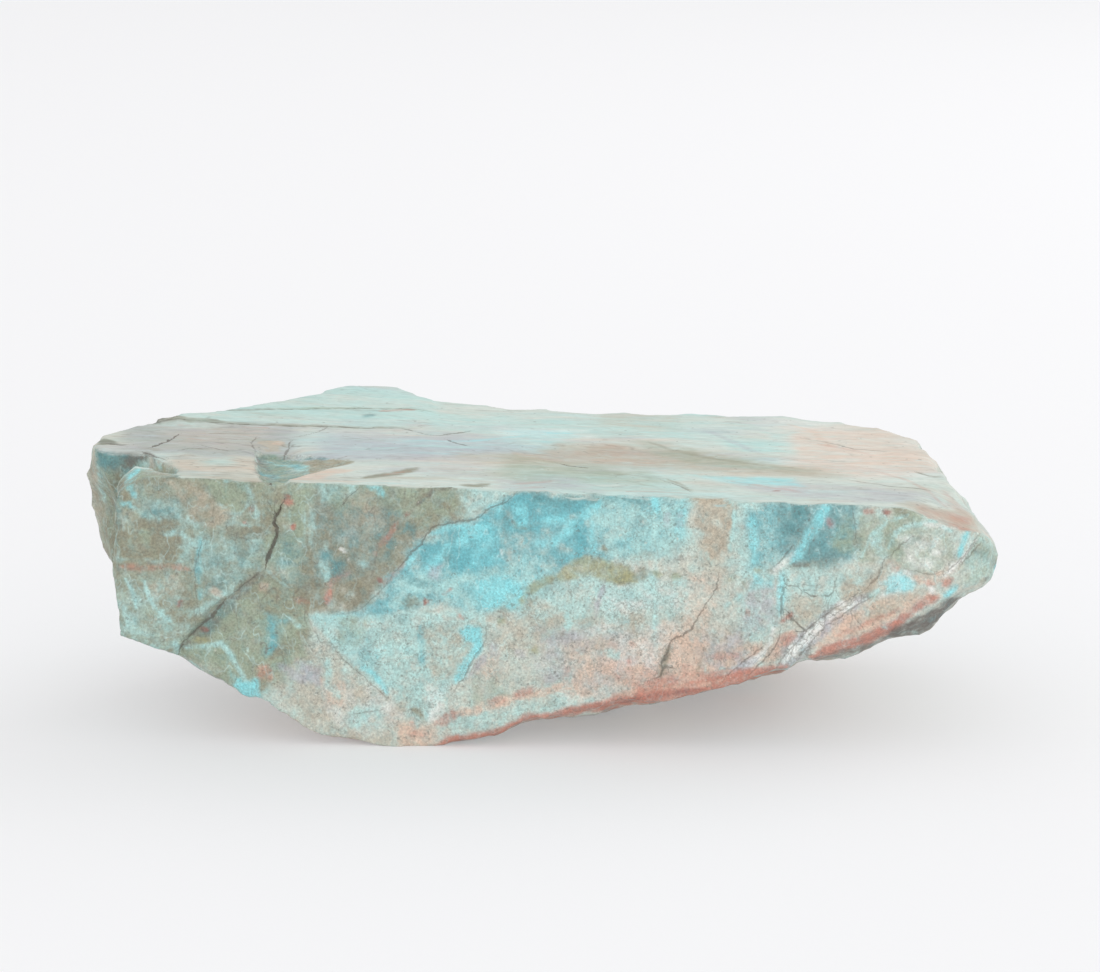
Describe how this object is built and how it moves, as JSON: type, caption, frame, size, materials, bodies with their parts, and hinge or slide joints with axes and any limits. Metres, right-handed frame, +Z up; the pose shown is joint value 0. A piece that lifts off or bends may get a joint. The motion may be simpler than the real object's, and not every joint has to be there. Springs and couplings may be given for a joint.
{
  "type": "turquoise specimen",
  "caption": "Broken slab of host rock stained and veined by turquoise, with a flat front face, a smooth top and a small flat area to rest on.",
  "frame": {"origin": "on the surface that the stone rests on, under the middle of its box", "axes": "+X to the right along the flat front face, +Y to the broken back, +Z up; the front face looks along -Y"},
  "size_m": [0.2044, 0.1088, 0.0628],
  "materials": {
    "turquoise_rock": "matte"
  },
  "bodies": {
    "root": {"turquoise_stone": "turquoise_rock"}
  },
  "joints": []
}
